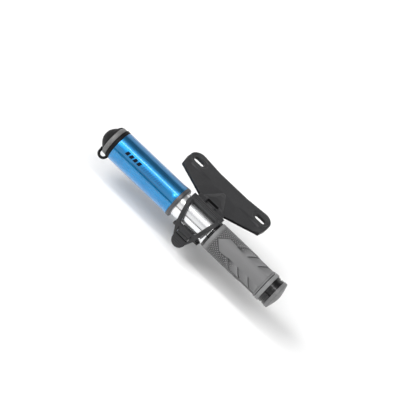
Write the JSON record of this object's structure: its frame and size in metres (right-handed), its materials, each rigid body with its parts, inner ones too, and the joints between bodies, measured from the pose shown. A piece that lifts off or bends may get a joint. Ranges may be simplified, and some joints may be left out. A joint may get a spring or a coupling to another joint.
{
  "type": "bicycle mini pump",
  "caption": "Telescoping hand pump with a sliding anodised sleeve, rubber grip, capped hose head, and a side bracket with a rubber strap.",
  "frame": {"origin": "centre of the bracket's two bolt slots, on the plate's contact face", "axes": "+X along the pump towards its grip end, +Z out of the plate away from the bicycle's tube, the pump lies on the -Y side"},
  "size_m": [0.1808, 0.061, 0.0357],
  "materials": {
    "moulded_plastic": "fine moulded grain, satin",
    "strap_rubber": "smooth black rubber",
    "cap_rubber": "smooth soft rubber",
    "polished_barrel": "polished aluminium with turned shoulder",
    "gloss_black": "gloss black",
    "grip_rubber": "textured grey rubber",
    "grip_rings": "satin grey",
    "end_cap_grey": "bead blasted grey",
    "blue_anodised": "bright blue anodised",
    "dark_anodised": "dark grey anodised",
    "light_band": "light grey satin",
    "machined_aluminium": "machined",
    "bearing_plastic": "natural acetal",
    "housing_plastic": "black moulded",
    "seal_rubber": "nitrile",
    "valve_rubber": "red silicone",
    "hose_rubber": "braided black hose",
    "brass_fitting": "machined"
  },
  "bodies": {
    "bracket": {"mount_bracket": "moulded_plastic", "strap_root": "strap_rubber"},
    "strap": {"strap": "strap_rubber"},
    "barrel": {"barrel_tube": "polished_barrel", "barrel_guide_ring": "bearing_plastic", "handle_core": "gloss_black", "grip": "grip_rubber", "grip_front_ring": "grip_rings", "grip_rear_ring": "grip_rings", "end_plug": "machined_aluminium", "end_plug_seal": "seal_rubber", "bumper": "seal_rubber", "end_cap": "end_cap_grey"},
    "sleeve": {"sleeve_tube": "blue_anodised", "sleeve_collar": "dark_anodised", "collar_wiper": "seal_rubber", "sleeve_plug": "housing_plastic", "head_collar": "light_band", "cap_ring": "cap_rubber", "cap_leash": "cap_rubber", "rod_seal": "seal_rubber", "piston_rod": "machined_aluminium", "piston": "bearing_plastic", "piston_seal": "seal_rubber", "check_valve": "valve_rubber"},
    "cap": {"dust_cap": "cap_rubber"},
    "head": {"hose": "hose_rubber", "hose_crimp": "brass_fitting", "hose_ferrule": "brass_fitting", "ferrule_seal": "seal_rubber", "pump_head": "housing_plastic", "head_gasket": "seal_rubber"},
    "lock_knob": {"lock_knob": "housing_plastic"}
  },
  "joints": [
    {"name": "strap_swing", "type": "hinge", "parent": "bracket", "child": "strap", "pos_m": [0, -0.039, 0.0037], "axis": [-1, 0, 0], "range_deg": [0, 140.1]},
    {"name": "pump_release", "type": "slide", "parent": "bracket", "child": "barrel", "axis": [0, -0.9659, 0.2588], "range_m": [0, 0.01466]},
    {"name": "sleeve_stroke", "type": "slide", "parent": "barrel", "child": "sleeve", "axis": [-1, 0, 0], "range_m": [0, 0.04]},
    {"name": "cap_swing", "type": "hinge", "parent": "sleeve", "child": "cap", "pos_m": [-0.0867, -0.04774, -0.02124], "axis": [0, -0.7071, 0.7071], "range_deg": [0, 175.1]},
    {"name": "head_pull", "type": "slide", "parent": "sleeve", "child": "head", "axis": [-1, 0, 0], "range_m": [0, 0.0486]},
    {"name": "knob_turn", "type": "hinge", "parent": "head", "child": "lock_knob", "pos_m": [-0.084, -0.0365, -0.01], "axis": [1, 0, 0], "continuous": true}
  ],
  "couplings": [
    {"joint": "strap_swing", "follows": "pump_release", "rad_per_m": 166.67},
    {"joint": "cap_swing", "follows": "head_pull", "rad_per_m": 62.832}
  ]
}
